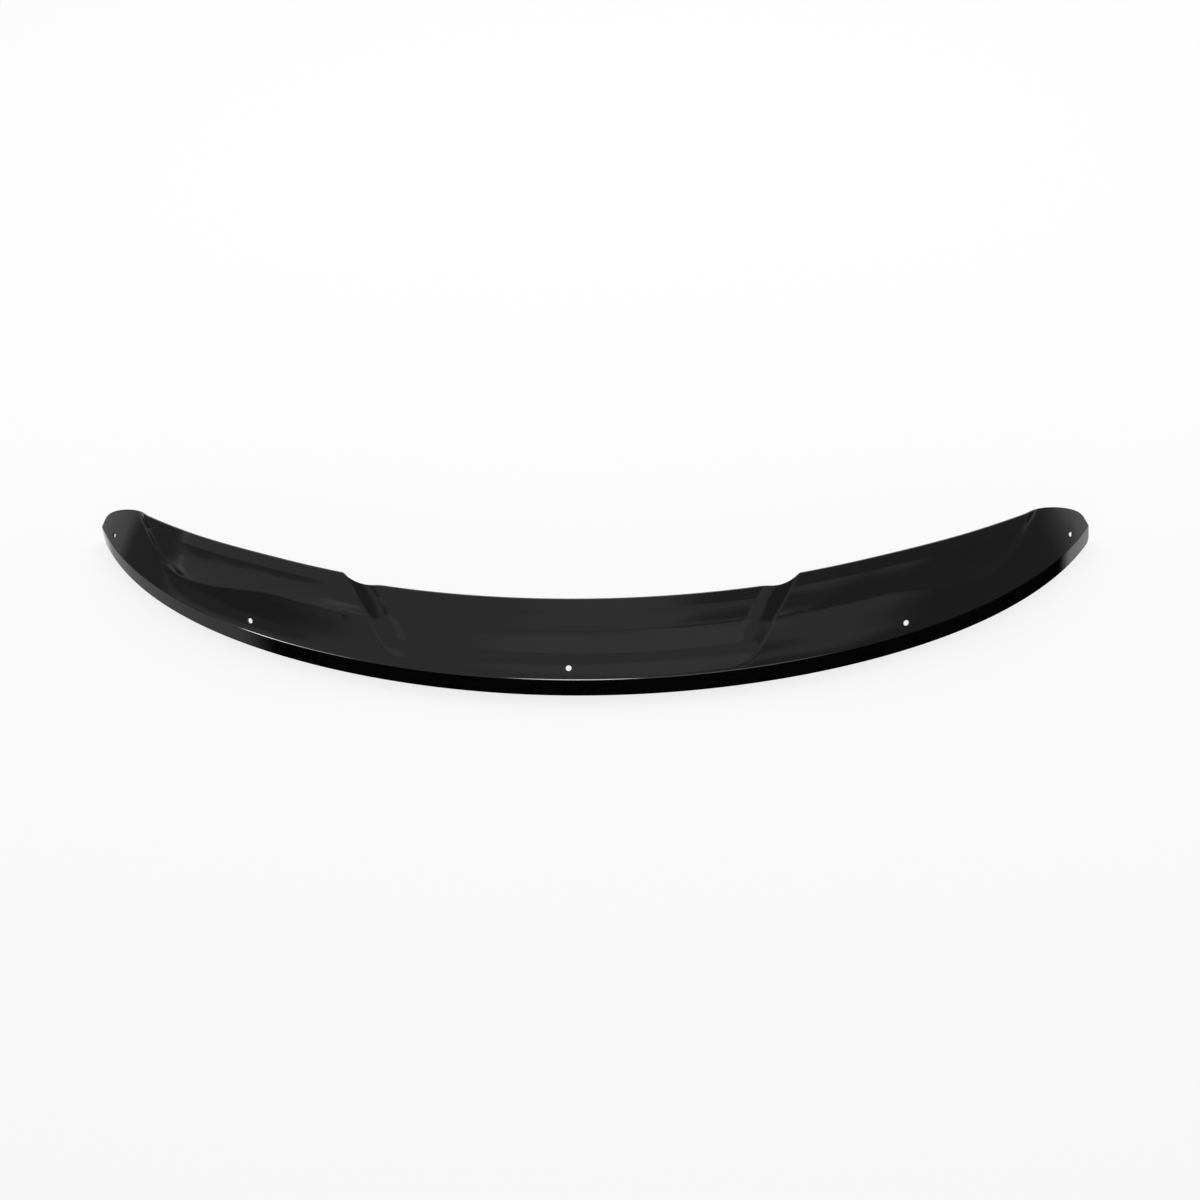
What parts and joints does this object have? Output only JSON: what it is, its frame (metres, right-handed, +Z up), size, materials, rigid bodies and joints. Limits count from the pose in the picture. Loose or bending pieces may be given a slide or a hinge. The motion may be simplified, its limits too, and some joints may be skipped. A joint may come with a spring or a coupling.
{
  "type": "hood bug deflector",
  "caption": "Formed gloss black acrylic hood deflector with a front flange, a fixing strip with screw holes, a recessed middle and wrapped ends.",
  "frame": {"origin": "middle of the bounding box at the flange's lower edge, on the surface that the part stands on", "axes": "+X across the vehicle to the right of the picture, +Y to the vehicle's rear, +Z up"},
  "size_m": [1.4272, 0.2868, 0.1259],
  "materials": {
    "black_acrylic": "gloss"
  },
  "bodies": {
    "root": {"deflector_shield": "black_acrylic"}
  },
  "joints": []
}
